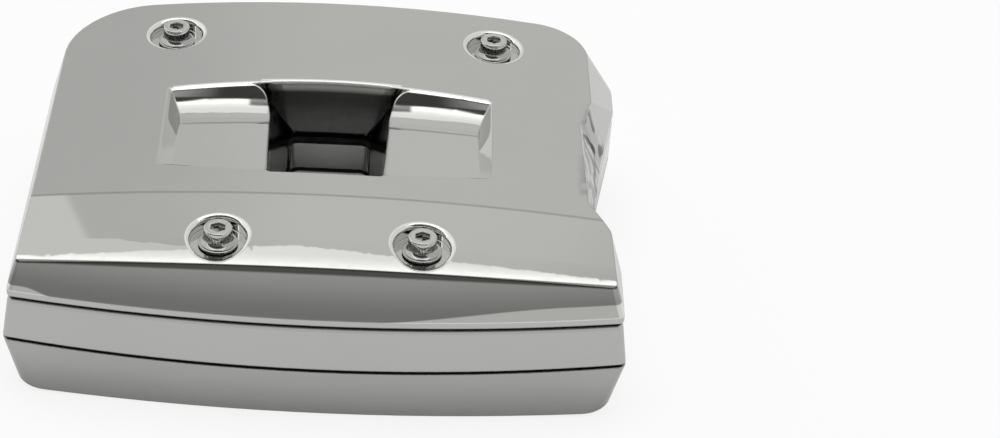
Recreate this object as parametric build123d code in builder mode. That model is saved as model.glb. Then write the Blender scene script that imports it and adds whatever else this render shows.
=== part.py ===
from build123d import *
from math import cos, radians, sin, tan
import os

os.makedirs("parts", exist_ok=True)

# A three-layer rocker cover for a motorcycle engine: a lower box that bolts to the cylinder
# head, a middle spacer and an upper cover, with a gasket at each seam. +X is right, +Y is back
# and +Z is up. The origin is at the middle of the overall box, on the lower box's bottom face.

# ---- overall sizes (mm) ----
body_length = 211.0          # widest, along X, at the seam of the lower box and the spacer
body_depth = 171.6           # front to back at the same level
lower_height = 19.7
spacer_height = 15.7
gasket_thickness = 1.3
cover_crease_height = 24.5   # from the cover's lower face to the crease, at the middle
wall = 4.5                   # casting wall
roof = 4.0                   # thickness of the cover's top
rib = 4.0                    # walls of the middle bridge and round the window
detail_x = 1.0               # screws, pocket and window are centred this far right of the middle

# ---- how far each level is drawn in from the widest one ----
foot_side_taper = 3.0        # lower box, at its bottom face
foot_front_taper = 2.5
foot_rear_taper = 7.0
seam_side_taper = 2.0        # seam of the spacer and the cover
seam_front_taper = 1.8
seam_rear_taper = 1.5

# ---- height of the arcs that the front and rear edges follow ----
front_bow_foot = 7.4
front_bow_parting = 10.4
front_bow_seam = 8.9
rear_bow = 5.0

# ---- corner radii in plan ----
front_corner_radius = 2.5
foot_corner_radius = 12.0
rear_left_radius = 32.0
rear_right_radius = 19.0
shoulder_radius = 4.0
recess_radius = 9.0          # at the front of the recess
hollow_radius = 7.5          # at its back
cheek_radius = 5.0

# ---- right side: front wing, recess and rear cheek ----
wing_length = 37.8           # the front wing ends this far behind the front edge
recess_front_run = 14.0      # from the wing's end to the front of the recess
recess_rear_run = 36.0       # from the back of the recess to the cheek
cheek_from_rear = 35.8       # the cheek starts this far in front of the rear edge
recess_front_depth = 11.5    # in from the widest level
recess_rear_depth = 6.4
cheek_top_shift = 28.0       # at crease level the cheek starts this much further forward

# ---- lean of the cover's walls, in degrees from upright ----
front_lean = 20.0
side_lean = 16.5
recess_lean = 26.0
cheek_lean = 30.0
rear_lean = 12.0
strip_height = 2.2           # upright strip above the seam
skirt_height = 16.8          # leaning front skirt, from that strip to the lip

# ---- top of the cover ----
crown_radius = 850.0         # the top is arched from left to right
crease_from_front = 42.6     # the flat top ends this far behind the front edge
top_rise_angle = 1.0         # the flat top rises slightly towards the back
slope_angle = 4.8            # front slope, at the middle
slope_end_angle = 11.0       # and at the two sides of the body
lip_angle = 30.0             # the slope rolls over to this angle at the lip
roll_length = 11.5           # length of that roll along Y, at the middle
roll_end_length = 5.5        # and at the two sides
lip_margin = 0.5             # the roll ends this far in front of the lip's middle
crest_margin = 2.6           # the walls are carried this far past the crease, then trimmed
cutter_reach = 20.0          # cutters and envelopes run past the castings by this much
spacer_edge_height = 1.5     # bevel along the spacer's upper edge
spacer_edge_inset = 0.5

# ---- wedge pocket in the top ----
pocket_from_side = 48.0      # from each side of the body to the pocket's ends
pocket_end_run = 4.5         # the sloping ends run in by this much down to the floor
pocket_end_margin = 3.0      # cutters for the sloping ends run past the floor by this much
pocket_from_crease = 12.7    # from the crease to the middle of the pocket's front edge
pocket_front_bow = 4.0       # its front edge and rear rim are this much further in at the ends
pocket_from_rear = 60.9      # from the rear edge to the middle of the pocket's rear rim
pocket_rear_bow = 4.6
pocket_wall_run = 10.4       # from the foot of the leaning rear wall to the rim
pocket_foot_bow = 2.0        # the foot is this much further forward at the ends
pocket_rear_depth = 7.0
pocket_front_step = 0.15
pocket_floor_sag = 1.3       # the arched floor drops this much from the middle to its sides
pocket_foot_fillet = 15.5    # the rear wall sweeps into the floor
pocket_rim_fillet = 3.5
pocket_rim_exit_angle = 4.0  # past the rim the cutter leaves the top at this angle

# ---- window that runs down through all the layers ----
window_half_top = 20.3       # at the front of its top
window_half_rear = 24.2      # at the back of its top
window_half_low = 15.0
window_front_land = 0.5      # the window runs this far into the top in front of the pocket
window_front_run = 6.5       # its front wall ends this far behind the pocket's front edge
window_rear_margin = 0.6     # its rear edge lies this far behind the pocket's rim
window_rear_run = 3.5        # and its rear wall ends this far behind that rim
window_corner_radius = 4.0   # at its lower end
window_top_radius = 1.2      # at the front of its top
window_mouth_radius = 5.6    # at the top its rear corners flare out to meet the pocket's rim
window_rear_low_bow = 0.1    # its rear wall is this much bowed at the bottom
window_step = 2.6            # the spacer's window is this much shorter at the back
window_flare = 7.0           # and opens out backwards by this much towards its lower end

# ---- cover screws, with a flared collar and a seal washer under each head ----
screw_rear_from_side = 46.8
screw_rear_from_rear = 28.8
screw_front_from_side = 71.5
screw_front_from_front = 20.8
screw_radius = 3.175
screw_length = 52.0
screw_clearance = 0.35       # round the screw in the cover, the spacer and the gaskets
thread_clearance = 0.05      # round the screw in the lower box
head_radius = 4.8
head_height = 4.3
head_chamfer = 0.45
socket_across = 4.76
socket_depth = 2.6
counterbore_radius = 9.5
counterbore_depth = 3.7
counterbore_rim_fillet = 1.5
seat_margin = 2.2            # metal round each counterbore
collar_radius = 6.7
collar_top_radius = 4.3
collar_height = 2.1
collar_rim = 0.6
seal_radius = 6.3
seal_thickness = 0.6
boss_radius = 8.5
tap_floor = 3.0              # metal left under each tapped hole

# ---- bolt bosses that hold the lower box to the cylinder head ----
head_bolt_from_side = 21.5
head_bolt_from_rear = 35.8
head_bolt_from_front = 27.8
head_bolt_radius = 4.25
head_boss_radius = 9.0
head_boss_height = 12.0

# ---- locating dowels, two at each seam ----
dowel_from_side = 33.5
dowel_from_front = 16.3
dowel_radius = 3.0
dowel_length = 12.0
dowel_chamfer = 0.5
dowel_clearance = 0.03
dowel_end_gap = 0.3
dowel_boss_radius = 6.5

# ---- breather valve and baffle in the spacer's rear chamber ----
valve_from_rear = 28.8
valve_web_height = 5.0       # underside of the web, above the spacer's lower face
valve_web_thickness = 3.0
valve_radius = 10.0
valve_dome = 2.4
valve_lip = 0.9
valve_stem_radius = 2.0
valve_knob_radius = 2.9
valve_knob_height = 3.0
valve_clearance = 0.05
vent_count = 6
vent_radius = 1.5
vent_circle = 6.2
post_spacing = 31.0          # the two posts under the baffle, along Y
post_radius = 3.2
post_height = 4.6
baffle_width = 26.0
baffle_depth = 38.5
baffle_thickness = 1.2
baffle_lip = 1.6
baffle_corner = 2.5
baffle_hole_clearance = 0.3
baffle_screw_radius = 1.5
baffle_screw_length = 6.0
baffle_head_radius = 2.8
baffle_head_height = 1.4
baffle_slot_width = 0.8
baffle_slot_depth = 0.7

gasket_inset = 1.2           # the gaskets stop this far inside the castings' outer faces

# ---- levels and places that follow from these ----
half_length = body_length / 2
front_y = -body_depth / 2
rear_y = body_depth / 2
spacer_bottom = lower_height + gasket_thickness
spacer_top = spacer_bottom + spacer_height
cover_bottom = spacer_top + gasket_thickness
strip_top = cover_bottom + strip_height
crease_z = cover_bottom + cover_crease_height
lean_height = crease_z - strip_top
shoulder_y = front_y + wing_length
recess_front_y = shoulder_y + recess_front_run
cheek_y = rear_y - cheek_from_rear
recess_rear_y = cheek_y - recess_rear_run
crease_y = front_y + crease_from_front
pocket_front_mid_y = crease_y + pocket_from_crease
pocket_rear_mid_y = rear_y - pocket_from_rear
pocket_foot_y = pocket_rear_mid_y - pocket_wall_run
pocket_half_top = half_length - pocket_from_side
pocket_half_floor = pocket_half_top - pocket_end_run
window_front_low_y = pocket_front_mid_y + window_front_run
window_rear_top_y = pocket_rear_mid_y + window_rear_margin
window_rear_low_y = pocket_rear_mid_y + window_rear_run
screw_front_half = half_length - screw_front_from_side
screw_front_y = front_y + screw_front_from_front
screw_rear_half = half_length - screw_rear_from_side
screw_rear_y = rear_y - screw_rear_from_rear
head_bolt_half = half_length - head_bolt_from_side
head_bolt_front_y = front_y + head_bolt_from_front
head_bolt_rear_y = rear_y - head_bolt_from_rear
dowel_half = half_length - dowel_from_side
dowel_y = front_y + dowel_from_front
valve_y = rear_y - valve_from_rear
crest_z = crease_z + crest_margin
sky = crease_z + cutter_reach
window_front_y = pocket_front_mid_y - window_front_land
ring_half = window_half_low + rib
ring_front_y = window_front_low_y - rib
spacer_window_rear_y = window_rear_low_y - window_step
low_window_rear_y = spacer_window_rear_y + window_flare
ring_rear_y = low_window_rear_y + rib
web_bottom = spacer_bottom + valve_web_height
web_top = web_bottom + valve_web_thickness
baffle_bottom = web_top + post_height
baffle_top = baffle_bottom + baffle_thickness

screw_places = {
    "front_left": (detail_x - screw_front_half, screw_front_y),
    "front_right": (detail_x + screw_front_half, screw_front_y),
    "rear_left": (detail_x - screw_rear_half, screw_rear_y),
    "rear_right": (detail_x + screw_rear_half, screw_rear_y),
}
dowel_places = {"left": (-dowel_half, dowel_y), "right": (dowel_half, dowel_y)}
head_bolt_places = [
    (side * head_bolt_half, y) for side in (-1, 1) for y in (head_bolt_front_y, head_bolt_rear_y)
]
post_places = {
    "front": (detail_x, valve_y - post_spacing / 2),
    "rear": (detail_x, valve_y + post_spacing / 2),
}


# ---------------------------------------------------------------------------
# Plan outlines
# ---------------------------------------------------------------------------
def lean_in(angle, rise):
    """How far a wall that leans by this angle has moved in after this rise."""
    return rise * tan(radians(angle))


def plan_outline(side, front, rear, recess, bow, corner, rise=0.0, inset=0.0):
    """The castings' outline, drawn in from the widest level by side, front, rear and recess.

    rise is the height above the upright strip, where the cover's walls start to lean,
    and inset shrinks the outline evenly, for an inner wall or a gasket.
    """
    share = rise / lean_height
    left_x = -half_length + side + lean_in(side_lean, rise)
    wing_x = half_length - side - lean_in(side_lean, rise)
    foot_x = half_length - recess - recess_front_depth - lean_in(side_lean, rise) / 2
    hollow_x = half_length - recess - recess_rear_depth - lean_in(recess_lean, rise)
    cheek_x = half_length - recess - lean_in(cheek_lean, rise)
    front_mid = front_y + front + lean_in(front_lean, rise)
    rear_mid = rear_y - rear - lean_in(rear_lean, rise)
    front_left = (left_x, front_mid + bow)
    front_right = (wing_x, front_mid + bow)
    shoulder = (wing_x, shoulder_y)
    recess_front = (foot_x, recess_front_y)
    recess_rear = (hollow_x, recess_rear_y)
    cheek = (cheek_x, cheek_y - cheek_top_shift * share)
    rear_right = (cheek_x, rear_mid - rear_bow)
    rear_left = (left_x, rear_mid - rear_bow)
    outward_rounds = [
        (front_left, corner),
        (front_right, corner),
        (shoulder, shoulder_radius),
        (cheek, cheek_radius),
        (rear_right, rear_right_radius),
        (rear_left, rear_left_radius),
    ]
    inward_rounds = [(recess_front, recess_radius), (recess_rear, hollow_radius)]
    with BuildSketch() as plan:
        with BuildLine():
            ThreePointArc(front_left, (0, front_mid), front_right)
            Polyline(front_right, shoulder, recess_front, recess_rear, cheek, rear_right)
            ThreePointArc(rear_right, (0, rear_mid), rear_left)
            Line(rear_left, front_left)
        make_face()
        if inset:
            offset(amount=-inset, kind=Kind.INTERSECTION)
        for place, radius in outward_rounds:
            inner = max(radius - inset, front_corner_radius / 2)
            fillet(plan.vertices().sort_by_distance((*place, 0))[0], inner)
        for place, radius in inward_rounds:
            fillet(plan.vertices().sort_by_distance((*place, 0))[0], radius + inset)
    return plan.sketch


def foot_outline(inset=0.0):
    return plan_outline(foot_side_taper, foot_front_taper, foot_rear_taper, foot_side_taper,
                        front_bow_foot, foot_corner_radius, inset=inset)


def parting_outline(inset=0.0):
    return plan_outline(0, 0, 0, 0, front_bow_parting, front_corner_radius, inset=inset)


def seam_outline(rise=0.0, inset=0.0):
    return plan_outline(seam_side_taper, seam_front_taper, seam_rear_taper, 0,
                        front_bow_seam, front_corner_radius, rise, inset)


def walls_between(low_sketch, low_z, high_sketch, high_z):
    """A solid with straight walls from one outline to the other."""
    with BuildPart() as block:
        with BuildSketch(Plane.XY.offset(low_z)):
            add(low_sketch)
        with BuildSketch(Plane.XY.offset(high_z)):
            add(high_sketch)
        loft(ruled=True)
    return block.part


def raised(sketch, low_z, high_z):
    """A solid with upright walls from one height to another."""
    with BuildPart() as block:
        with BuildSketch(Plane.XY.offset(low_z)):
            add(sketch)
        extrude(amount=high_z - low_z)
    return block.part


def box_plan(left, right, front, rear, corner=0.0):
    """A rectangle by its sides, with rounded corners if a radius is given."""
    with BuildSketch() as plan:
        with Locations(((left + right) / 2, (front + rear) / 2)):
            Rectangle(right - left, rear - front)
        if corner:
            fillet(plan.vertices(), corner)
    return plan.sketch


def lug_plan(place, radius, toward):
    """A round boss with a neck that runs from it to the nearest wall."""
    x, y = place
    step_x, step_y = toward
    neck = 2 * radius * 0.8
    with BuildSketch() as plan:
        with Locations(place):
            Circle(radius)
        with Locations((x + step_x / 2, y + step_y / 2)):
            Rectangle(abs(step_x) or neck, abs(step_y) or neck)
    return plan.sketch


def bridge_plan():
    """What stays solid inside the walls at every level: bridge ribs, window ring and bosses."""
    with BuildSketch() as plan:
        for side in (-1, 1):
            with Locations((detail_x + side * (ring_half - rib / 2), 0)):
                Rectangle(rib, body_depth)
        add(box_plan(detail_x - ring_half, detail_x + ring_half, ring_front_y, ring_rear_y))
        for name, place in screw_places.items():
            step = front_y - place[1] if name.startswith("front") else rear_y - place[1]
            add(lug_plan(place, boss_radius, (0, step)))
        for place in dowel_places.values():
            add(lug_plan(place, dowel_boss_radius, (0, front_y - place[1])))
    return plan.sketch


# ---------------------------------------------------------------------------
# Top of the cover: arched envelope, pocket and window
# ---------------------------------------------------------------------------
def side_share(x):
    """0 at the middle and 1 at the sides, for what changes along the front."""
    return (x / half_length) ** 2


def slope_at(x):
    return slope_angle + (slope_end_angle - slope_angle) * side_share(x)


def top_z(x, y):
    """Height of the cover's top at a place on the flat top or the front slope."""
    angle = top_rise_angle if y > crease_y else slope_at(x)
    return crease_z + (y - crease_y) * tan(radians(angle)) - x * x / (2 * crown_radius)


def top_section(x):
    """Side profile of everything under the top, whose rolled lip follows the bowed front."""
    back_y = rear_y + cutter_reach
    tail_y = front_y - cutter_reach
    lip_mid_y = front_y + seam_front_taper + lean_in(front_lean, skirt_height) - lip_margin
    lip_y = lip_mid_y + front_bow_seam * side_share(x)
    slope = radians(slope_at(x))
    roll_run = roll_length + (roll_end_length - roll_length) * side_share(x)
    roll_y = lip_y + roll_run
    roll_radius = roll_run / (sin(radians(lip_angle)) - sin(slope))
    roll_drop = roll_radius * (cos(slope) - cos(radians(lip_angle)))
    back = (back_y, top_z(x, back_y))
    crease = (crease_y, top_z(x, crease_y))
    roll = (roll_y, top_z(x, roll_y))
    lip = (lip_y, top_z(x, roll_y) - roll_drop)
    tail = (tail_y, lip[1] - (lip_y - tail_y) * tan(radians(lip_angle)))
    slope_direction = (-cos(slope), -sin(slope))
    with BuildSketch(Plane.YZ.offset(x)) as section:
        with BuildLine():
            Polyline(back, crease, roll)
            TangentArc(roll, lip, tangent=slope_direction)
            Polyline(lip, tail, (tail_y, -cutter_reach), (back_y, -cutter_reach), back)
        make_face()
    return section.sketch


def top_envelope():
    """Everything under the top, arched from left to right."""
    with BuildPart() as envelope:
        for share in (-1, -0.5, 0, 0.5, 1):
            add(top_section(share * (half_length + cutter_reach / 2)))
        loft()
    return envelope.part


def pocket_floor_z(offset_x, y):
    """Height of the pocket's floor, which rises forwards and drops away from the middle."""
    rear_z = top_z(0, pocket_foot_y) - pocket_rear_depth
    front_z = top_z(0, pocket_front_mid_y) - pocket_front_step
    fall = (front_z - rear_z) / (pocket_foot_y - pocket_front_mid_y)
    drop = pocket_floor_sag * (offset_x / pocket_half_floor) ** 2
    return rear_z + (pocket_foot_y - y) * fall - drop


def pocket_section(offset_x):
    """The pocket's side profile this far from its middle: floor, rounded foot and rear wall."""
    rim_y = pocket_rear_mid_y - pocket_rear_bow * (offset_x / pocket_half_top) ** 2
    foot_y = pocket_foot_y - pocket_foot_bow * (offset_x / pocket_half_top) ** 2
    start = (front_y, pocket_floor_z(offset_x, front_y))
    foot = (foot_y, pocket_floor_z(offset_x, foot_y))
    rim = (rim_y, top_z(offset_x, rim_y))
    rise = (rear_y - rim_y) * tan(radians(top_rise_angle + pocket_rim_exit_angle))
    end = (rear_y, rim[1] + rise)
    with BuildSketch(Plane.YZ.offset(detail_x + offset_x)) as section:
        with BuildLine():
            Polyline(start, foot, rim, end, (rear_y, sky), (front_y, sky), start)
        make_face()
        fillet(section.vertices().sort_by_distance((*foot, 0))[0], pocket_foot_fillet)
        fillet(section.vertices().sort_by_distance((*rim, 0))[0], pocket_rim_fillet)
    return section.sketch


def pocket_ends():
    """The block between the pocket's sloping ends, which keep their width from front to back."""
    ramp = pocket_half_top - pocket_half_floor
    low_half = pocket_half_floor - pocket_end_margin
    far_half = pocket_half_top + pocket_end_margin
    with BuildPart() as block:
        for y in (pocket_front_mid_y - pocket_end_margin, rear_y):
            floor_z = pocket_floor_z(pocket_half_floor, y)
            edge_z = top_z(pocket_half_top, y)
            low_z = floor_z - pocket_end_margin * (edge_z - floor_z) / ramp
            rims = [(detail_x + side * pocket_half_top, edge_z) for side in (-1, 1)]
            with BuildSketch(Plane.XZ.offset(-y)) as section:
                with BuildLine():
                    Polyline((detail_x - low_half, low_z), (detail_x + low_half, low_z), rims[1],
                             (detail_x + far_half, edge_z), (detail_x + far_half, sky),
                             (detail_x - far_half, sky), (detail_x - far_half, edge_z), rims[0],
                             (detail_x - low_half, low_z))
                make_face()
                for rim in rims:
                    fillet(section.vertices().sort_by_distance((*rim, 0))[0], pocket_rim_fillet)
        loft(ruled=True)
    return block.part


def pocket_front():
    """Everything behind the bowed line where the pocket starts."""
    half = pocket_half_top
    end_y = pocket_front_mid_y + pocket_front_bow
    with BuildSketch() as plan:
        with BuildLine():
            ThreePointArc((detail_x - half, end_y), (detail_x, pocket_front_mid_y),
                          (detail_x + half, end_y))
            Polyline((detail_x + half, end_y), (half_length, end_y), (half_length, rear_y),
                     (-half_length, rear_y), (-half_length, end_y), (detail_x - half, end_y))
        make_face()
    return raised(plan.sketch, cover_bottom, sky + 1)


def pocket_cutter():
    """The wedge pocket: an arched floor, sloping ends and a bowed rear wall that leans back."""
    with BuildPart() as pocket:
        for share in (-1, -0.5, 0, 0.5, 1):
            add(pocket_section(share * (pocket_half_top + pocket_end_margin)))
        loft()
        add(pocket_ends(), mode=Mode.INTERSECT)
        add(pocket_front(), mode=Mode.INTERSECT)
    return pocket.part


def window_plan(half, front, rear):
    return box_plan(detail_x - half, detail_x + half, front, rear, window_corner_radius)


def window_outline(half, rear_half, front, radius, side_end, rear_corner, rear):
    """The window's outline, whose sides end in quarter arcs that turn in or flare out.

    half and rear_half are half its width at the front and where the arcs start, radius is at
    its front corners, rear_corner is where each arc meets the rear edge, as a distance from
    the middle and a y, and rear is the y of the rear edge's middle.
    """
    turn = 1 if rear_corner[0] < rear_half else -1
    reach = abs(rear_corner[0] - rear_half)
    far = 1 - cos(radians(45))
    near = sin(radians(45))
    with BuildSketch() as plan:
        with BuildLine():
            Line((detail_x - half + radius, front), (detail_x + half - radius, front))
            for side in (1, -1):
                ThreePointArc((detail_x + side * (half - radius), front),
                              (detail_x + side * (half - radius * far), front + radius * far),
                              (detail_x + side * half, front + radius))
                Line((detail_x + side * half, front + radius),
                     (detail_x + side * rear_half, side_end))
                ThreePointArc((detail_x + side * rear_half, side_end),
                              (detail_x + side * (rear_half - turn * reach * far),
                               side_end + reach * near),
                              (detail_x + side * rear_corner[0], rear_corner[1]))
            ThreePointArc((detail_x + rear_corner[0], rear_corner[1]), (detail_x, rear),
                          (detail_x - rear_corner[0], rear_corner[1]))
        make_face()
    return plan.sketch


def cover_window():
    """The window's flared walls, from the cover's lower face to the top of the pocket."""
    rim_z = top_z(0, window_rear_top_y)
    mouth_half = window_half_rear + window_mouth_radius
    mouth_y = pocket_rear_mid_y - pocket_rear_bow * (mouth_half / pocket_half_top) ** 2
    upper = window_outline(window_half_top, window_half_rear, window_front_y, window_top_radius,
                           mouth_y - window_mouth_radius, (mouth_half, mouth_y),
                           window_rear_top_y)
    low_corner_y = window_rear_low_y - window_rear_low_bow
    lower = window_outline(window_half_low, window_half_low, window_front_low_y,
                           window_corner_radius, low_corner_y - window_corner_radius,
                           (window_half_low - window_corner_radius, low_corner_y),
                           window_rear_low_y)
    with BuildPart() as window:
        add(walls_between(lower, cover_bottom, upper, rim_z))
        add(raised(upper, rim_z, sky))
    return window.part


# ---------------------------------------------------------------------------
# Castings
# ---------------------------------------------------------------------------
def seat_z(place):
    """The flat seat at the bottom of a screw's counterbore."""
    x, y = place
    return top_z(x, y) - counterbore_depth


def screw_hole_plan(clearance):
    with BuildSketch() as plan:
        with Locations(*screw_places.values()):
            Circle(screw_radius + clearance)
    return plan.sketch


def dowel_hole_plan():
    with BuildSketch() as plan:
        with Locations(*dowel_places.values()):
            Circle(dowel_radius + dowel_clearance)
    return plan.sketch


def dowel_sockets(seam_z, side):
    """Blind holes for half of each dowel, above (1) or below (-1) the middle of a seam."""
    depth = dowel_length / 2 + dowel_end_gap
    return raised(dowel_hole_plan(), min(seam_z, seam_z + side * depth),
                  max(seam_z, seam_z + side * depth))


def roof_block():
    """What stays solid under the pocket, round the flared window and under the screw seats."""
    floor_low = top_z(0, pocket_foot_y) - pocket_rear_depth - pocket_floor_sag - roof
    front_low = top_z(0, pocket_front_mid_y) - pocket_floor_sag - roof
    ring_low = box_plan(detail_x - ring_half, detail_x + ring_half, ring_front_y, ring_rear_y)
    ring_high = box_plan(detail_x - window_half_rear - rib, detail_x + window_half_rear + rib,
                         window_front_y - rib, ring_rear_y)
    with BuildPart() as block:
        with BuildSketch(Plane.YZ.offset(detail_x)):
            Polygon((pocket_front_mid_y - roof, sky), (pocket_front_mid_y - roof, front_low),
                    (pocket_foot_y, floor_low), (pocket_rear_mid_y + roof, floor_low),
                    (pocket_rear_mid_y + roof, sky), align=None)
        extrude(amount=pocket_half_top + roof, both=True)
        add(walls_between(ring_low, cover_bottom, ring_high, crease_z))
        for place in screw_places.values():
            with BuildSketch(Plane.XY.offset(seat_z(place) - roof)):
                with Locations(place):
                    Circle(counterbore_radius + seat_margin)
            extrude(amount=sky - seat_z(place) + roof)
    return block.part


def make_upper_cover():
    top_rise = crest_z - strip_top
    with BuildPart() as core:
        add(raised(seam_outline(inset=wall), cover_bottom, strip_top))
        add(walls_between(seam_outline(inset=wall), strip_top,
                          seam_outline(top_rise, wall), crest_z))
        add(top_envelope().moved(Location((0, 0, -roof))), mode=Mode.INTERSECT)
        add(raised(bridge_plan(), cover_bottom - 1, sky), mode=Mode.SUBTRACT)
        add(roof_block(), mode=Mode.SUBTRACT)
    with BuildPart() as upper_cover:
        add(raised(seam_outline(), cover_bottom, strip_top))
        add(walls_between(seam_outline(), strip_top, seam_outline(top_rise), crest_z))
        add(top_envelope(), mode=Mode.INTERSECT)
        add(pocket_cutter(), mode=Mode.SUBTRACT)
        add(cover_window(), mode=Mode.SUBTRACT)
        add(core.part, mode=Mode.SUBTRACT)
        for place in screw_places.values():
            with BuildSketch(Plane.XY.offset(seat_z(place))):
                with Locations(place):
                    Circle(counterbore_radius)
            extrude(amount=sky - seat_z(place), mode=Mode.SUBTRACT)
            rim = (place[0], place[1] + counterbore_radius, seat_z(place) + counterbore_depth)
            fillet(upper_cover.edges().sort_by_distance(rim)[0], counterbore_rim_fillet)
        add(raised(screw_hole_plan(screw_clearance), cover_bottom, sky), mode=Mode.SUBTRACT)
        add(dowel_sockets(cover_bottom, 1), mode=Mode.SUBTRACT)
    return upper_cover


def make_middle_spacer():
    edge_low = spacer_top - spacer_edge_height
    upper_window = window_plan(window_half_low, window_front_low_y, spacer_window_rear_y)
    lower_window = window_plan(window_half_low, window_front_low_y, low_window_rear_y)
    with BuildPart() as core:
        add(walls_between(parting_outline(wall), spacer_bottom,
                          seam_outline(inset=wall), spacer_top))
        add(raised(bridge_plan(), spacer_bottom, spacer_top), mode=Mode.SUBTRACT)
        with BuildSketch(Plane.XY.offset(web_bottom)):
            with Locations((detail_x, (ring_rear_y + rear_y) / 2)):
                Rectangle(2 * ring_half, rear_y - ring_rear_y)
        extrude(amount=valve_web_thickness, mode=Mode.SUBTRACT)
        with BuildSketch(Plane.XY.offset(web_top)):
            with Locations(*post_places.values()):
                Circle(post_radius)
        extrude(amount=post_height, mode=Mode.SUBTRACT)
    with BuildPart() as middle_spacer:
        add(walls_between(parting_outline(), spacer_bottom, seam_outline(), edge_low))
        add(walls_between(seam_outline(), edge_low,
                          seam_outline(inset=spacer_edge_inset), spacer_top))
        add(core.part, mode=Mode.SUBTRACT)
        add(walls_between(lower_window, spacer_bottom, upper_window, spacer_top),
            mode=Mode.SUBTRACT)
        add(raised(screw_hole_plan(screw_clearance), spacer_bottom, spacer_top),
            mode=Mode.SUBTRACT)
        add(dowel_sockets(spacer_bottom, 1), mode=Mode.SUBTRACT)
        add(dowel_sockets(spacer_top, -1), mode=Mode.SUBTRACT)
        with BuildSketch(Plane.XY.offset(web_bottom)):
            with Locations((detail_x, valve_y)):
                Circle(valve_stem_radius + valve_clearance)
                with PolarLocations(vent_circle, vent_count):
                    Circle(vent_radius)
        extrude(amount=valve_web_thickness, mode=Mode.SUBTRACT)
        with BuildSketch(Plane.XY.offset(baffle_bottom)):
            with Locations(*post_places.values()):
                Circle(baffle_screw_radius + thread_clearance)
        extrude(amount=-baffle_screw_length, mode=Mode.SUBTRACT)
    return middle_spacer


def make_lower_box():
    with BuildPart() as core:
        add(walls_between(foot_outline(wall), 0, parting_outline(wall), lower_height))
        add(raised(bridge_plan(), 0, lower_height), mode=Mode.SUBTRACT)
        with BuildSketch():
            for place in head_bolt_places:
                outward = half_length - head_bolt_half
                add(lug_plan(place, head_boss_radius, (outward if place[0] > 0 else -outward, 0)))
        extrude(amount=head_boss_height, mode=Mode.SUBTRACT)
    with BuildPart() as lower_box:
        add(walls_between(foot_outline(), 0, parting_outline(), lower_height))
        add(core.part, mode=Mode.SUBTRACT)
        add(raised(window_plan(window_half_low, window_front_low_y, low_window_rear_y),
                   0, lower_height), mode=Mode.SUBTRACT)
        add(raised(screw_hole_plan(thread_clearance), tap_floor, lower_height),
            mode=Mode.SUBTRACT)
        add(dowel_sockets(lower_height, -1), mode=Mode.SUBTRACT)
        with BuildSketch():
            with Locations(*head_bolt_places):
                Circle(head_bolt_radius)
        extrude(amount=head_boss_height, mode=Mode.SUBTRACT)
    return lower_box


def make_gasket(bottom_z, outline, window_rear):
    """A flat gasket with the castings' outline, open wherever both castings are open."""
    with BuildSketch() as openings:
        add(outline(inset=wall))
        add(bridge_plan(), mode=Mode.SUBTRACT)
    with BuildPart() as gasket:
        with BuildSketch(Plane.XY.offset(bottom_z)):
            add(outline(inset=gasket_inset))
            add(openings.sketch, mode=Mode.SUBTRACT)
            add(window_plan(window_half_low, window_front_low_y, window_rear), mode=Mode.SUBTRACT)
            add(screw_hole_plan(screw_clearance), mode=Mode.SUBTRACT)
            add(dowel_hole_plan(), mode=Mode.SUBTRACT)
        extrude(amount=gasket_thickness)
    return gasket


# ---------------------------------------------------------------------------
# Screws, collars, washers and dowels
# ---------------------------------------------------------------------------
def make_cover_screw(place):
    """A socket head cap screw that reaches through all the layers into the lower box."""
    head_bottom = seat_z(place) + seal_thickness + collar_height
    with BuildPart() as screw:
        with BuildSketch(Plane.XY.offset(head_bottom)):
            with Locations(place):
                Circle(head_radius)
        extrude(amount=head_height)
        chamfer(screw.edges().group_by(Axis.Z)[-1], head_chamfer)
        with BuildSketch(Plane.XY.offset(head_bottom)):
            with Locations(place):
                Circle(screw_radius)
        extrude(amount=-screw_length)
        with BuildSketch(Plane.XY.offset(head_bottom + head_height)):
            with Locations(place):
                RegularPolygon(socket_across / 2, 6, major_radius=False)
        extrude(amount=-socket_depth, mode=Mode.SUBTRACT)
    return screw


def make_collar_washer(place):
    """A flared collar: a flat rim with a cone that rises from it to the screw head."""
    bottom = seat_z(place) + seal_thickness
    with BuildPart() as collar:
        with BuildSketch(Plane.XY.offset(bottom)):
            with Locations(place):
                Circle(collar_radius)
        extrude(amount=collar_rim)
        with Locations((*place, bottom + collar_rim)):
            Cone(collar_radius, collar_top_radius, collar_height - collar_rim,
                 align=(Align.CENTER, Align.CENTER, Align.MIN))
        with BuildSketch(Plane.XY.offset(bottom)):
            with Locations(place):
                Circle(screw_radius + screw_clearance)
        extrude(amount=collar_height, mode=Mode.SUBTRACT)
    return collar


def make_seal_washer(place):
    with BuildPart() as seal:
        with BuildSketch(Plane.XY.offset(seat_z(place))):
            with Locations(place):
                Circle(seal_radius)
                Circle(screw_radius + screw_clearance, mode=Mode.SUBTRACT)
        extrude(amount=seal_thickness)
    return seal


def make_dowel(place, seam_z):
    """A plain dowel that stands across the gasket above seam_z."""
    with BuildPart() as dowel:
        with Locations((*place, seam_z + gasket_thickness / 2)):
            Cylinder(dowel_radius, dowel_length)
        chamfer(dowel.edges().filter_by(GeomType.CIRCLE), dowel_chamfer)
    return dowel


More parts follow.
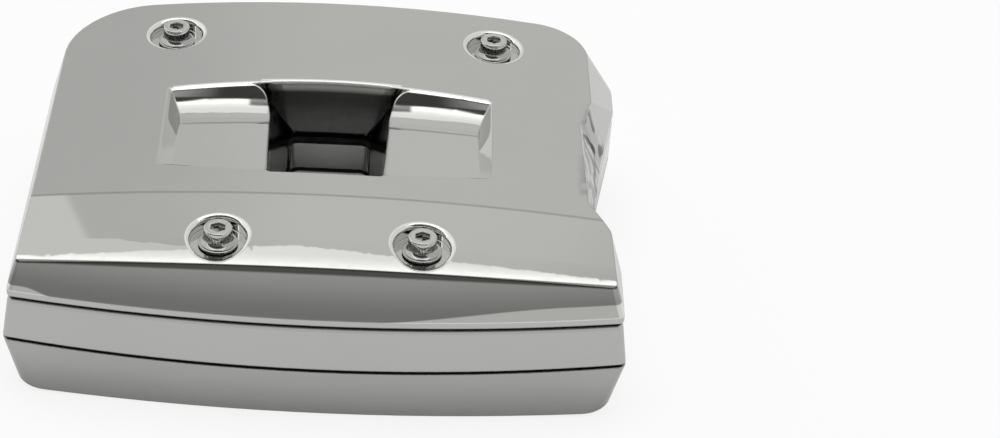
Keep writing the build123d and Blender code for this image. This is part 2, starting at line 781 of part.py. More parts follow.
# ---------------------------------------------------------------------------
# Breather valve and baffle
# ---------------------------------------------------------------------------
def make_breather_valve():
    """An umbrella valve: a shallow dome on the web, held by a stem and a knob under it."""
    with BuildPart() as valve:
        with BuildSketch(Plane.XY.offset(web_top)):
            with Locations((detail_x, valve_y)):
                Circle(valve_radius)
        extrude(amount=valve_dome)
        fillet(valve.edges().group_by(Axis.Z)[-1], valve_dome - valve_lip)
        with BuildSketch(Plane.XY.offset(web_bottom)):
            with Locations((detail_x, valve_y)):
                Circle(valve_stem_radius)
        extrude(amount=valve_web_thickness)
        with BuildSketch(Plane.XY.offset(web_bottom - valve_knob_height)):
            with Locations((detail_x, valve_y)):
                Circle(valve_knob_radius)
        extrude(amount=valve_knob_height)
    return valve


def make_breather_baffle():
    """A plate over the valve with its two long sides turned down."""
    with BuildPart() as baffle:
        with BuildSketch(Plane.XY.offset(baffle_bottom)):
            with Locations((detail_x, valve_y)):
                RectangleRounded(baffle_width, baffle_depth, baffle_corner)
            with Locations(*post_places.values()):
                Circle(baffle_screw_radius + baffle_hole_clearance, mode=Mode.SUBTRACT)
        extrude(amount=baffle_thickness)
        lip_x = (baffle_width - baffle_thickness) / 2
        with BuildSketch(Plane.XY.offset(baffle_bottom)):
            with Locations((detail_x - lip_x, valve_y), (detail_x + lip_x, valve_y)):
                Rectangle(baffle_thickness, baffle_depth - 2 * baffle_corner)
        extrude(amount=-baffle_lip)
    return baffle


def make_baffle_screw(place):
    """A slotted pan head screw that holds the baffle down on a post."""
    with BuildPart() as screw:
        with BuildSketch(Plane.XY.offset(baffle_top)):
            with Locations(place):
                Circle(baffle_head_radius)
        extrude(amount=baffle_head_height)
        fillet(screw.edges().group_by(Axis.Z)[-1], baffle_head_height / 3)
        with BuildSketch(Plane.XY.offset(baffle_top)):
            with Locations(place):
                Circle(baffle_screw_radius)
        extrude(amount=-baffle_screw_length)
        with BuildSketch(Plane.XY.offset(baffle_top + baffle_head_height)):
            with Locations(place):
                Rectangle(2 * baffle_head_radius, baffle_slot_width)
        extrude(amount=-baffle_slot_depth, mode=Mode.SUBTRACT)
    return screw


# ---------------------------------------------------------------------------
# Build and save every piece
# ---------------------------------------------------------------------------
def save(piece, label):
    piece.part.label = label
    export_step(piece.part, f"parts/{label}.step")


save(make_upper_cover(), "upper_cover")
save(make_middle_spacer(), "middle_spacer")
save(make_lower_box(), "lower_box")
save(make_gasket(spacer_top, seam_outline, spacer_window_rear_y), "upper_gasket")
save(make_gasket(lower_height, parting_outline, low_window_rear_y), "lower_gasket")
for name, place in screw_places.items():
    save(make_cover_screw(place), f"cover_screw_{name}")
    save(make_collar_washer(place), f"collar_washer_{name}")
    save(make_seal_washer(place), f"seal_washer_{name}")
for name, place in dowel_places.items():
    save(make_dowel(place, spacer_top), f"dowel_upper_{name}")
    save(make_dowel(place, lower_height), f"dowel_lower_{name}")
save(make_breather_valve(), "breather_valve")
save(make_breather_baffle(), "breather_baffle")
for name, place in post_places.items():
    save(make_baffle_screw(place), f"baffle_screw_{name}")
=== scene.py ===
# %% [markdown]
# # A chromed rocker cover
#
# This lesson dresses a cover for a motorcycle engine. It is made of three castings that are
# stacked on two gaskets and pulled together by four cap screws. The solid model brings every
# piece at its true size and place, so the lesson is about finish: mirror chrome with soft
# edges, knurled screw heads, black rubber, and a small studio whose reflections draw the shape.

# %% Load the solid model
import math

import bmesh
import bpy
from mathutils import Matrix, Vector


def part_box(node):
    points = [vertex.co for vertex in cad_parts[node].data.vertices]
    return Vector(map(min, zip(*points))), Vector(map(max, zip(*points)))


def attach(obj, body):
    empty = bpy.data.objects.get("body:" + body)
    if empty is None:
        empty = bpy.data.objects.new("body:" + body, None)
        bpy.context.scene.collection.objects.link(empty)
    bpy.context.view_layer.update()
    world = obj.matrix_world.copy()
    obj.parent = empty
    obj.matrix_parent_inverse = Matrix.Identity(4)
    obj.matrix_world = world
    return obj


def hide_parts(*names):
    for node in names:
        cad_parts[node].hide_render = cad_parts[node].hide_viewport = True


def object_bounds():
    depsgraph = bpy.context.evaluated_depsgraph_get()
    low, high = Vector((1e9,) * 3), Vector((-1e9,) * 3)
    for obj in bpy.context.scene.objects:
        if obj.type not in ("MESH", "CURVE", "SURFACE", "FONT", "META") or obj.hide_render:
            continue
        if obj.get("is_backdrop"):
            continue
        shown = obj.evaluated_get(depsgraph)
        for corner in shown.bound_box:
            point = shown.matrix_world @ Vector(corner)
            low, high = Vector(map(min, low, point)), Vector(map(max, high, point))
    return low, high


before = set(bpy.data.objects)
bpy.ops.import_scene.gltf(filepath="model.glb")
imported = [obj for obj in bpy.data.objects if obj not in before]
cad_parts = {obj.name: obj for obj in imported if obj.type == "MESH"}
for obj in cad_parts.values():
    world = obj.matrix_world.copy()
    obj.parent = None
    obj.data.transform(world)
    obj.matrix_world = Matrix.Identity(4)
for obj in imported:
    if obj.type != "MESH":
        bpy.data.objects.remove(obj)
MM = 0.001
cad_low, cad_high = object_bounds()
cad_size = [round((high - low) / MM, 1) for low, high in zip(cad_low, cad_high)]
print("solid model:", len(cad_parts), "pieces,", cad_size, "mm")

# %% [markdown]
# ## The camera
#
# A cover is looked at from above its front edge, where the slope, the pocket and the bands of
# the three castings all show. The camera is described by where it aims, how far away it stands
# and three angles. Its axes are worked out from those angles and written into its matrix, which
# leaves no doubt about the order of rotations.

# %% Place the camera
AIM = Vector((-3.0, -20.7, 40.0)) * MM
DISTANCE = 0.9
ELEVATION, TURN, TILT = (math.radians(a) for a in (35.5, 1.8, -1.5))
LENS, SENSOR = 92.34, 36.0
SHIFT = (0.187, -0.009)

around = Matrix.Rotation(TURN, 3, "Z")
forward = around @ Vector((0, math.cos(ELEVATION), -math.sin(ELEVATION)))
level = around @ Vector((1, 0, 0))
upright = level.cross(forward)
right = math.cos(TILT) * level - math.sin(TILT) * upright
up = math.sin(TILT) * level + math.cos(TILT) * upright

camera_data = bpy.data.cameras.new("camera")
camera_data.lens, camera_data.sensor_width = LENS, SENSOR
camera_data.shift_x, camera_data.shift_y = SHIFT
camera_data.clip_end = 50.0
camera = bpy.data.objects.new("camera", camera_data)
bpy.context.scene.collection.objects.link(camera)
axes = Matrix((right, up, -forward)).transposed()
camera.matrix_world = Matrix.Translation(AIM - DISTANCE * forward) @ axes.to_4x4()
bpy.context.scene.camera = camera
bpy.context.scene.view_settings.view_transform = "Standard"
print("camera stands at", [round(c, 3) for c in camera.location])

# %% [markdown]
# ## Writing materials as sums
#
# Node trees are easier to read as arithmetic than as wiring. The small class below wraps the
# output of a node. Adding or multiplying two of them adds the Math node that does it, and
# `Tree.node` makes every other kind of node from its type, its settings and its inputs.

# %% A shader value that can be added and multiplied
class Value:
    """The output of a node, for use in sums."""

    def __init__(self, tree, socket):
        self.tree = tree
        self.socket = socket

    def _math(self, operation, first, second):
        return self.tree.node("ShaderNodeMath", {"operation": operation}, {0: first, 1: second})

    def __add__(self, other):
        return self._math("ADD", self, other)

    def __radd__(self, other):
        return self._math("ADD", other, self)

    def __sub__(self, other):
        return self._math("SUBTRACT", self, other)

    def __rsub__(self, other):
        return self._math("SUBTRACT", other, self)

    def __mul__(self, other):
        return self._math("MULTIPLY", self, other)

    def __rmul__(self, other):
        return self._math("MULTIPLY", other, self)

    def __truediv__(self, other):
        return self._math("DIVIDE", self, other)

    def clip(self, low, high):
        """0 at low and below, 1 at high and above, smooth between."""
        return self.tree.node("ShaderNodeMapRange", {"interpolation_type": "SMOOTHSTEP"},
                              {"Value": self, "From Min": low, "From Max": high})


# %% A node tree that is filled from Python
class Tree:
    """The nodes of a material or of the world, empty at first."""

    def __init__(self, owner):
        owner.use_nodes = True
        self.nodes = owner.node_tree.nodes
        self.links = owner.node_tree.links
        self.nodes.clear()

    def node(self, kind, settings=None, inputs=None, output=0):
        """Add a node: its settings come first, then the values or links of its inputs."""
        made = self.nodes.new(kind)
        for name, setting in (settings or {}).items():
            if name == "stops":
                marks = made.color_ramp.elements
                while len(marks) < len(setting):
                    marks.new(1.0)
                for mark, (place, colour) in zip(marks, setting):
                    mark.position = place
                    mark.color = colour
            else:
                setattr(made, name, setting)
        for name, given in (inputs or {}).items():
            if isinstance(given, Value):
                self.links.new(given.socket, made.inputs[name])
            else:
                made.inputs[name].default_value = given
        return Value(self, made.outputs[output]) if made.outputs else None


def grey(level):
    return (level, level, level, 1.0)


def axis_of(tree, vector, axis):
    return tree.node("ShaderNodeSeparateXYZ", {}, {0: vector}, axis)


# %% [markdown]
# ## A studio for chrome
#
# Chrome has no colour of its own, so what it reflects is what is seen. A ready-made panorama could
# be wrapped round the scene, but tones that are written down can be tuned one by one. The room is
# described by one angle: 0 degrees is the horizon behind the object, 90 is straight up and 180 is
# the horizon in front. One table of tones over that angle gives the grey wall behind, a second
# gives the wide white soft box overhead and the unlit room in front of it. The near edge of the
# soft box isn't straight, so where it starts depends on how far a mirrored ray leans to the left
# or right.

# %% Tones of the room, by angle
WALL_TONES = [(0, 0.80), (34, 0.76), (46, 0.82), (60, 0.80), (90, 0.80)]
ROOM_TONES = [(45, 1.24), (74, 1.28), (84, 1.5), (92, 1.85), (97, 1.95), (99.5, 0.10),
              (106, 0.06), (109, 0.40), (112, 0.50), (115, 0.05), (125, 0.03), (150, 0.10),
              (168, 0.36), (173, 0.47), (180, 0.47)]
BOX_EDGE = [(-0.42, 88), (-0.26, 74), (-0.13, 69), (-0.09, 60), (-0.05, 57), (0.0, 61),
            (0.05, 67), (0.2, 73), (0.3, 79), (0.42, 90)]
BRIGHTEST = 2.0
HALF_TURN = 180
EDGE_REACH = 0.45


def look_up(tree, value, stops, low, high, top):
    """Look a value up in a table of (place, level) stops, with levels from 0 to top."""
    span = high - low
    marks = [((place - low) / span, grey(level / top)) for place, level in stops]
    found = tree.node("ShaderNodeValToRGB", {"stops": marks}, {"Fac": (value - low) / span})
    return tree.node("ShaderNodeSeparateColor", {}, {0: found}) * top


world = bpy.data.worlds.new("studio")
bpy.context.scene.world = world
room = Tree(world)
toward = room.node("ShaderNodeTexCoord", output="Generated")
across, back, height = (axis_of(room, toward, axis) for axis in "XYZ")
climb = room.node("ShaderNodeMath", {"operation": "ARCTAN2"}, {0: height, 1: back})
climb = climb * (HALF_TURN / math.pi)
wall = look_up(room, climb, WALL_TONES, 0, HALF_TURN, BRIGHTEST)
front = look_up(room, climb, ROOM_TONES, 0, HALF_TURN, BRIGHTEST)
edge = look_up(room, across, BOX_EDGE, -EDGE_REACH, EDGE_REACH, HALF_TURN)
print("room tones:", len(WALL_TONES) + len(ROOM_TONES), "stops, brightest", BRIGHTEST)

# %% [markdown]
# A studio is never even from side to side. The wall falls off a little to the left and the right,
# a pale panel closes the room on either side, and the camera itself looks into plain white, as it
# would past the edge of the table. Each is blended in by a smooth step of the direction.

# %% Side panels, and a white room for the camera
LEFT_PANEL, RIGHT_PANEL = 0.92, 0.70
LEFT_EDGE = (math.radians(-24.4), math.radians(-23.4))
RIGHT_EDGE = (0.5, 0.6)
LEFT_FALL, LEFT_FALL_REACH = 0.13, (-0.20, -0.02)
RIGHT_FALL, RIGHT_FALL_REACH = 0.14, (0.2, 0.4)
BLUE_SHARE = 0.985

turn = room.node("ShaderNodeMath", {"operation": "ARCTAN2"}, {0: across, 1: back})
wall = wall * (1.0 - LEFT_FALL + LEFT_FALL * across.clip(*LEFT_FALL_REACH))
wall = wall * (1.0 - RIGHT_FALL * across.clip(*RIGHT_FALL_REACH))
wall = wall + (LEFT_PANEL - wall) * (1.0 - turn.clip(*LEFT_EDGE))
past_edge = (climb - edge).clip(-1.0, 1.0)
tone = wall + (front - wall) * past_edge
tone = tone + (RIGHT_PANEL - tone) * across.clip(*RIGHT_EDGE)
direct = room.node("ShaderNodeLightPath", output="Is Camera Ray")
tone = tone + (1.0 - tone) * direct
shade = room.node("ShaderNodeCombineColor", {}, {0: tone, 1: tone, 2: tone * BLUE_SHARE})
glow = room.node("ShaderNodeBackground", {}, {"Color": shade, "Strength": 1.0})
room.node("ShaderNodeOutputWorld", {}, {"Surface": glow})
print("nodes in the room:", len(room.nodes))

# %% [markdown]
# A lamp gives the object its soft shadow. A wide one well overhead keeps that shadow faint and
# close. The mirror surfaces already see the soft box that is drawn in the room, so the lamp itself
# is hidden from them.

# %% The lamp overhead
LAMP_LEVEL = 2.2
LAMP_PLACE = (0.0, 0.1, 1.5)
lamp_data = bpy.data.lights.new("overhead", "AREA")
lamp_data.shape = "RECTANGLE"
lamp_data.size, lamp_data.size_y = 1.6, 1.0
lamp_data.energy = LAMP_LEVEL * math.pi * lamp_data.size * lamp_data.size_y
lamp = bpy.data.objects.new("overhead", lamp_data)
bpy.context.scene.collection.objects.link(lamp)
lamp.location = LAMP_PLACE
lamp.rotation_euler = (-lamp.location).to_track_quat("-Z", "Y").to_euler()
lamp.visible_glossy = False
print("lamp energy", round(lamp_data.energy, 1), "W")

# %% [markdown]
# ## The table
#
# The object stands on a plain pale table. A plane does for it, wide enough that its far edge is
# out of sight. Seen directly or in the chrome, the table is brightened part of the way to white,
# which keeps the object's shadow on it. Under the object it isn't brightened, because no light
# gets in there: the chrome walls of the window stay dark.

# %% The table top
TABLE_SIZE = 12.0
TABLE_GAP = 0.2 * MM
TABLE_PAINT = 0.8
MIRRORED_LEVEL = 0.74
SEEN_SHARE, MIRRORED_SHARE = 0.85, 0.5
COVERED_X, COVERED_Y = (0.085, 0.1), (0.07, 0.08)

bpy.ops.object.select_all(action="DESELECT")
bpy.ops.mesh.primitive_plane_add(size=TABLE_SIZE, location=(0, 0, -TABLE_GAP))
table = bpy.context.object
table.name = "table"
table_look = bpy.data.materials.new("table_top")
top = Tree(table_look)
spot = top.node("ShaderNodeTexCoord", output="Object")
out_x, out_y = (top.node("ShaderNodeMath", {"operation": "ABSOLUTE"},
                         {0: axis_of(top, spot, axis)}) for axis in "XY")
open_table = 1.0 - (1.0 - out_x.clip(*COVERED_X)) * (1.0 - out_y.clip(*COVERED_Y))
seen = top.node("ShaderNodeLightPath", output="Is Camera Ray")
mirrored = top.node("ShaderNodeLightPath", output="Is Glossy Ray")
through = top.node("ShaderNodeLightPath", output="Is Transmission Ray")
share = (SEEN_SHARE * seen + MIRRORED_SHARE * (mirrored + through)) * open_table
brightness = MIRRORED_LEVEL + (1.0 - MIRRORED_LEVEL) * seen
paint = top.node("ShaderNodeBsdfDiffuse", {}, {"Color": grey(TABLE_PAINT)})
lit = top.node("ShaderNodeEmission", {}, {"Color": grey(1.0), "Strength": brightness})
mixed = top.node("ShaderNodeMixShader", {}, {0: share, 1: paint, 2: lit})
top.node("ShaderNodeOutputMaterial", {}, {"Surface": mixed})
table.data.materials.append(table_look)
table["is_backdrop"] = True
print("table", TABLE_SIZE, "m wide, painted", TABLE_PAINT)

# %% [markdown]
# ## Chrome
#
# Chrome plate is a mirror that returns a little over half of the light. Its finish shows in small
# things: edges are polished round, wide faces carry a faint wave from buffing, a thin haze of
# handling makes the mirror a little softer in places, and the plate is slightly dulled where
# hands and cloths rub the edges. The edges could be rounded in the mesh. The Bevel node rounds
# them in the shading alone, which suits a solid whose mesh must stay as it is.

# %% Where the material is on the piece, in millimetres
WORN_TURN = 0.12


def position(tree):
    place = tree.node("ShaderNodeTexCoord", output="Object")
    return tree.node("ShaderNodeVectorMath", {"operation": "SCALE"},
                     {0: place, "Scale": 1.0 / MM})


def noise(tree, where, size, detail=2.0, rough=0.5):
    """Smooth noise from 0 to 1 whose lumps are about this many millimetres wide."""
    return tree.node("ShaderNodeTexNoise", {}, {"Vector": where, "Scale": 1.0 / size,
                                                "Detail": detail, "Roughness": rough}, "Fac")


def edge_wear(tree, rounded):
    """1 on an edge and 0 on a flat face, from how far the rounded normal has turned."""
    flat = tree.node("ShaderNodeNewGeometry", output="Normal")
    along = tree.node("ShaderNodeVectorMath", {"operation": "DOT_PRODUCT"},
                      {0: rounded, 1: flat}, "Value")
    return (1.0 - along).clip(0.0, WORN_TURN)


# %% [markdown]
# Some finishes belong to one place on a casting. The window's walls get painted shade, and its
# upper edges are polished to a wide round. The rims of the pocket and of the screw seats get
# painted highlights, and a line of painted shade follows the crease across the top. A painted mask
# would need its own map of the surface. A mask that is worked out from the place in millimetres
# needs none, and it stays sharp at any distance.

# %% Masks from a place in millimetres
def within(value, low, high, soft):
    """1 between low and high, fading to 0 over a soft margin outside them."""
    return value.clip(low - soft, low) * (1.0 - value.clip(high, high + soft))


def xyz_of(tree, where):
    return [axis_of(tree, where, axis) for axis in "XYZ"]


def bow(x, y, rise):
    """How far back a place is, once a bow in plan is taken out."""
    return y + rise * (x * x)


# %% The window's walls and its upper edges
POCKET_FRONT, POCKET_FRONT_Z = -30.5, 61.3
POCKET_SLOPE = 0.117
COVER_FOOT = (36.5, 38.0)
SHAFT_X, SHAFT_Y = (-24.0, 26.0), (POCKET_FRONT, 20.0)
REAR_X, REAR_Y, REAR_Z = (-27.0, 29.0), (17.0, 30.0), (58.5, 61.5)
RIM_X, RIM_Y, RIM_Z = (-20.0, 22.0), (-29.0, 28.0), (50.0, 52.0)


# Where this mask is 1, the window's walls get painted shade and a little more roughness.
def window_depth(tree, where):
    """1 on the cover's walls down inside the window, 0 on outer faces and at the rounded edge."""
    x, y, z = xyz_of(tree, where)
    below = POCKET_FRONT_Z - POCKET_SLOPE * (y - POCKET_FRONT) - z
    shaft = within(x, *SHAFT_X, 1.0) * within(y, *SHAFT_Y, 1.0) * below.clip(1.0, 3.0)
    rear = within(x, *REAR_X, 2.0) * within(y, *REAR_Y, 1.0) * (1.0 - z.clip(*REAR_Z))
    return (shaft + rear * (1.0 - shaft)) * z.clip(*COVER_FOOT)


def window_rim(tree, where):
    """1 close to the window's upper edges, which are polished to a wide round."""
    x, y, z = xyz_of(tree, where)
    return within(x, *RIM_X, 1.5) * within(y, *RIM_Y, 1.0) * z.clip(*RIM_Z)


print("window:", SHAFT_X[1] - SHAFT_X[0], "by", SHAFT_Y[1] - SHAFT_Y[0], "mm in the mask")


# %% Painted highlights: the rims of the screw seats and the pocket
CORNERS = ("front_left", "front_right", "rear_left", "rear_right")
SEAT_RIM, SEAT_Z = (9.7, 11.0), (52.5, 53.5)
POCKET_MIDDLE = 1.0
POCKET_BOW = 0.00139
POCKET_RIM_Z = (59.0, 60.0)
ENDS_BAND, ENDS_REACH = (24.4, 26.0), (-56.5, 56.5)
MIDDLE_BAND, MIDDLE_REACH = (25.2, 27.2), (-24.5, 24.5)


def seat_ring_highlights(tree, where):
    """1 on the rounded rims of the four screw seats, where painted highlights shine as rings."""
    x, y, z = xyz_of(tree, where)
    flat = tree.node("ShaderNodeCombineXYZ", {}, {0: x, 1: y})
    elsewhere = 1.0
    for corner in CORNERS:
        low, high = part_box(f"cover_screw_{corner}")
        centre = [(a + b) / 2 / MM for a, b in zip(low, high)]
        distance = tree.node("ShaderNodeVectorMath", {"operation": "DISTANCE"},
                             {0: flat, 1: (centre[0], centre[1], 0.0)}, "Value")
        elsewhere = elsewhere * (1.0 - within(distance, *SEAT_RIM, 0.4))
    return (1.0 - elsewhere) * z.clip(*SEAT_Z)


def pocket_rim_highlight(tree, where):
    """1 along the pocket's rear rim, where a painted highlight shines as a thin ring."""
    x, y, z = xyz_of(tree, where)
    aside = x - POCKET_MIDDLE
    bowed = bow(aside, y, POCKET_BOW)
    ends = within(bowed, *ENDS_BAND, 0.3) * within(aside, *ENDS_REACH, 0.6)
    middle = within(bowed, *MIDDLE_BAND, 0.2) * within(aside, *MIDDLE_REACH, 1.5)
    return (ends + middle * (1.0 - ends)) * z.clip(*POCKET_RIM_Z)


print("bright rims:", len(CORNERS), "seats, and the pocket over", ENDS_REACH, "mm")


# %% The crease between the flat top and the front slope, a line of painted shade
CREASE_Y, CREASE_Z = (-43.4, -43.0), (53.0, 54.0)


def crease_shade_line(tree, where):
    """1 along the crease, where painted shade goes; 0 elsewhere and on the castings below."""
    _, y, z = xyz_of(tree, where)
    return within(y, *CREASE_Y, 0.7) * z.clip(*CREASE_Z)


print("crease between", CREASE_Y, "mm")


# %% [markdown]
# The front skirt hangs under the lip, and a thin line of painted shade runs just under the lip.
# The skirt is painted greyer on its way down, a painted reflection, and a painted highlight widens
# towards its right end. The lower box is painted greyer too, most of all at its foot, and the
# spacer a little, as painted shade. Tones over height say this in a few lines, and the bow of the
# front is taken out first so that the lines follow it.

# %% Painted reflections and shade down the front
FRONT_BOW = -0.00068
LIP, LIP_Z = (-78.35, -77.7), (49.0, 50.0)
BOX_Z, BOX_TOP = (0.0, 17.0), (19.8, 20.6)
BOX_TONE, BOX_GAIN = 0.66, 0.17
SPACER_TOP, SPACER_LOSS = (36.8, 37.2), 0.05
SKIRT_FOOT, SKIRT_Z = (40.1, 40.3), (41.0, 57.0)
SKIRT_TONE, SKIRT_GAIN = 0.57, 0.43
HIGHLIGHT_TONE = 1.5
LIGHT_TOP, LIGHT_RISE, LIGHT_HOOK = 39.4, 5.2, 2.8
LIGHT_RISE_X, LIGHT_HOOK_X = (5.0, 85.0), (-98.0, -84.0)


def lip_shade_line(tree, where):
    """1 in a thin line of painted shade just under the lip, which is bowed in plan."""
    x, y, z = xyz_of(tree, where)
    return within(bow(x, y, FRONT_BOW), *LIP, 0.35) * z.clip(*LIP_Z)


def painted_front_tones(tree, where):
    """How much of its brightness the plate keeps, level by level, as painted reflection and shade.
    """
    x, y, z = xyz_of(tree, where)
    box = BOX_TONE + BOX_GAIN * z.clip(*BOX_Z)
    skirt = SKIRT_TONE + SKIRT_GAIN * z.clip(*SKIRT_Z)
    light_top = LIGHT_TOP + LIGHT_RISE * x.clip(*LIGHT_RISE_X)
    light_top = light_top + LIGHT_HOOK * (1.0 - x.clip(*LIGHT_HOOK_X))
    # A painted highlight: a band at the skirt's foot, brighter than the plate, that widens to the
    # right.
    light = 1.0 - (z - light_top).clip(-0.3, 0.3)
    skirt = skirt + (HIGHLIGHT_TONE - skirt) * light
    on_skirt = (1.0 - bow(x, y, FRONT_BOW).clip(-78.0, -77.0)) * z.clip(*SKIRT_FOOT)
    upper = 1.0 + (skirt - 1.0) * on_skirt
    upper = upper - SPACER_LOSS * (1.0 - z.clip(*SPACER_TOP))
    return box + (upper - box) * z.clip(*BOX_TOP)


print("front tones: box", BOX_TONE, "skirt", SKIRT_TONE, "light area", HIGHLIGHT_TONE)


# %% [markdown]
# The right side of the cover has a hollow where the casting is drawn in. A polishing wheel can't
# follow it, so its mirror is uneven and its reflections run in wavy dark lines. Carving those
# waves would ask for a very fine mesh, so a bump and painted reflection lines, drawn where a noise
# crosses its middle value, stand in for them. The hollow is also painted a little darker as shade.

# %% The uneven hollow
HOLLOW_X, HOLLOW_Y, HOLLOW_Z = (87.5, 90.0), (-30.0, 22.0), (41.0, 56.0)
VEIN_SIZE, VEIN_WIDTH = 13.0, (0.035, 0.075)


def hollow(tree, where):
    """1 inside the hollow of the right side, which is bumped and painted a little darker as shade.
    """
    x, y, z = xyz_of(tree, where)
    return x.clip(*HOLLOW_X) * within(y, *HOLLOW_Y, 6.0) * within(z, *HOLLOW_Z, 3.0)


def reflection_veins(tree, where):
    """Thin wavy lines of painted reflection, where smooth noise crosses its middle value."""
    field = noise(tree, where, VEIN_SIZE, 1.0)
    apart = tree.node("ShaderNodeMath", {"operation": "ABSOLUTE"}, {0: field - 0.5})
    return 1.0 - apart.clip(*VEIN_WIDTH)


print("hollow: y", HOLLOW_Y, "z", HOLLOW_Z, "mm")


# %% [markdown]
# The masks meet in the castings' chrome. Each one paints shade, a highlight or a reflection into
# the plate by its own share, so one place can be changed without touching another. The screws and
# the collars are turned parts without those places and get the bare plate; the knurl grooves get a
# dark plate, painted shade.

# %% Painted shade, highlights and reflections that only the castings carry
WINDOW_ROUND = 2.6
# Painted shade in the window, uneven by noise: the plate keeps little of its brightness there.
WINDOW_SHADE, WINDOW_SHADE_SPREAD = 0.74, 0.12
CREASE_SHADE, LIP_SHADE = 0.28, 0.75
RIM_HIGHLIGHT, SEAT_HIGHLIGHT = 0.65, 0.55
HOLLOW_SHADE, VEIN_REFLECTION = 0.16, 0.85


def widen_at_window(tree, where, rounded):
    """Give the window's upper edges a wider round than the other edges."""
    wide = tree.node("ShaderNodeBevel", {"samples": 8}, {"Radius": WINDOW_ROUND * MM})
    both = tree.node("ShaderNodeMix", {"data_type": "VECTOR"},
                     {"Factor": window_rim(tree, where), 4: rounded, 5: wide}, 1)
    return tree.node("ShaderNodeVectorMath", {"operation": "NORMALIZE"}, {0: both})


def painted_light_on_castings(tree, where, inside, uneven):
    """How much of its brightness a casting's plate keeps, place by place, with painted light and
    shade.
    """
    window_shade = WINDOW_SHADE + WINDOW_SHADE_SPREAD * noise(tree, where, 4.0, 4.0, 0.7)
    kept = (1.0 - window_shade * inside) * (1.0 - CREASE_SHADE * crease_shade_line(tree, where))
    kept = kept * (1.0 - LIP_SHADE * lip_shade_line(tree, where)) * painted_front_tones(tree, where)
    kept = kept * (1.0 + RIM_HIGHLIGHT * pocket_rim_highlight(tree, where))
    kept = kept * (1.0 + SEAT_HIGHLIGHT * seat_ring_highlights(tree, where))
    return kept * (1.0 - HOLLOW_SHADE * uneven) * (1.0 - VEIN_REFLECTION * uneven * reflection_veins(tree, where))


# %% The chrome itself
PLATE_BLUE = 0.98


def chrome_plate(name, tone, edge_radius, wave=0.012, satin=0.03, casting=True):
    """Chrome that returns this tone, with edges rounded to this radius in millimetres."""
    look = bpy.data.materials.new(name)
    tree = Tree(look)
    where = position(tree)
    rounded = tree.node("ShaderNodeBevel", {"samples": 8}, {"Radius": edge_radius * MM})
    if casting:
        rounded = widen_at_window(tree, where, rounded)
    wear = edge_wear(tree, rounded)
    haze = noise(tree, where, 24.0, 3.0)
    smear = noise(tree, where, 3.0, 4.0, 0.6)
    specks = noise(tree, where, 0.7, 1.0).clip(0.74, 0.80)
    wear_and_painted_light = tone - 0.02 * haze - 0.05 * wear - 0.06 * specks
    roughness = satin + 0.02 * haze + 0.015 * smear + 0.06 * wear + 0.1 * specks
    ripple = wave * noise(tree, where, 30.0, 1.0) + 0.0006 * smear
    if casting:
        inside = window_depth(tree, where)
        uneven = hollow(tree, where)
        # On the castings the plate's colour also carries painted shade, highlights and reflections.
        wear_and_painted_light = wear_and_painted_light * painted_light_on_castings(tree, where, inside, uneven)
        roughness = roughness + 0.12 * inside
        ripple = ripple + 0.5 * uneven * noise(tree, where, 9.0, 1.0)
    colour = tree.node("ShaderNodeCombineColor", {}, {0: wear_and_painted_light, 1: wear_and_painted_light, 2: wear_and_painted_light * PLATE_BLUE})
    bump = tree.node("ShaderNodeBump", {}, {"Strength": 1.0, "Distance": MM, "Height": ripple,
                                            "Normal": rounded})
    skin = tree.node("ShaderNodeBsdfPrincipled", {},
                     {"Base Color": colour, "Metallic": 1.0, "Roughness": roughness,
                      "Normal": bump})
    tree.node("ShaderNodeOutputMaterial", {}, {"Surface": skin})
    print(name, "has", len(tree.nodes), "nodes")
    return look


chrome = chrome_plate("chrome", 0.57, 0.8)
screw_chrome = chrome_plate("screw_chrome", 0.62, 0.12, wave=0.0, satin=0.07, casting=False)
# The knurl grooves get a dark plate: painted shade in the grooves.
groove_shade_chrome = chrome_plate("groove_shade_chrome", 0.16, 0.12, wave=0.0, satin=0.3, casting=False)
collar_chrome = chrome_plate("collar_chrome", 0.50, 0.15, wave=0.0, satin=0.16, casting=False)

# %% [markdown]
# ## Rubber and steel
#
# The gaskets and seals are black nitrile rubber with a fine, slightly chalky skin. The dowels
# and the baffle are bright steel: one is ground, the other rolled, so both carry fine lines.
# Noise gives the chalk and the stains, and noise that is squeezed along one axis gives the lines.

# %% Rubber
def rubber_skin(name, shade, lump):
    """Black rubber with grains of this many millimetres."""
    look = bpy.data.materials.new(name)
    tree = Tree(look)
    where = position(tree)
    bloom = noise(tree, where, 6.0, 4.0, 0.6)
    grain = noise(tree, where, lump, 3.0)
    level = shade + 0.02 * bloom.clip(0.45, 0.75) + 0.006 * grain
    colour = tree.node("ShaderNodeCombineColor", {}, {0: level, 1: level, 2: level * 1.02})
    bump = tree.node("ShaderNodeBump", {}, {"Strength": 0.5, "Distance": 0.05 * MM,
                                            "Height": grain})
    skin = tree.node("ShaderNodeBsdfPrincipled", {},
                     {"Base Color": colour, "Roughness": 0.55 + 0.25 * bloom, "Normal": bump,
                      "Specular IOR Level": 0.15})
    tree.node("ShaderNodeOutputMaterial", {}, {"Surface": skin})
    print(name, "has", len(tree.nodes), "nodes")
    return look


gasket_rubber = rubber_skin("gasket_rubber", 0.012, 0.35)
seal_rubber = rubber_skin("seal_rubber", 0.05, 0.2)


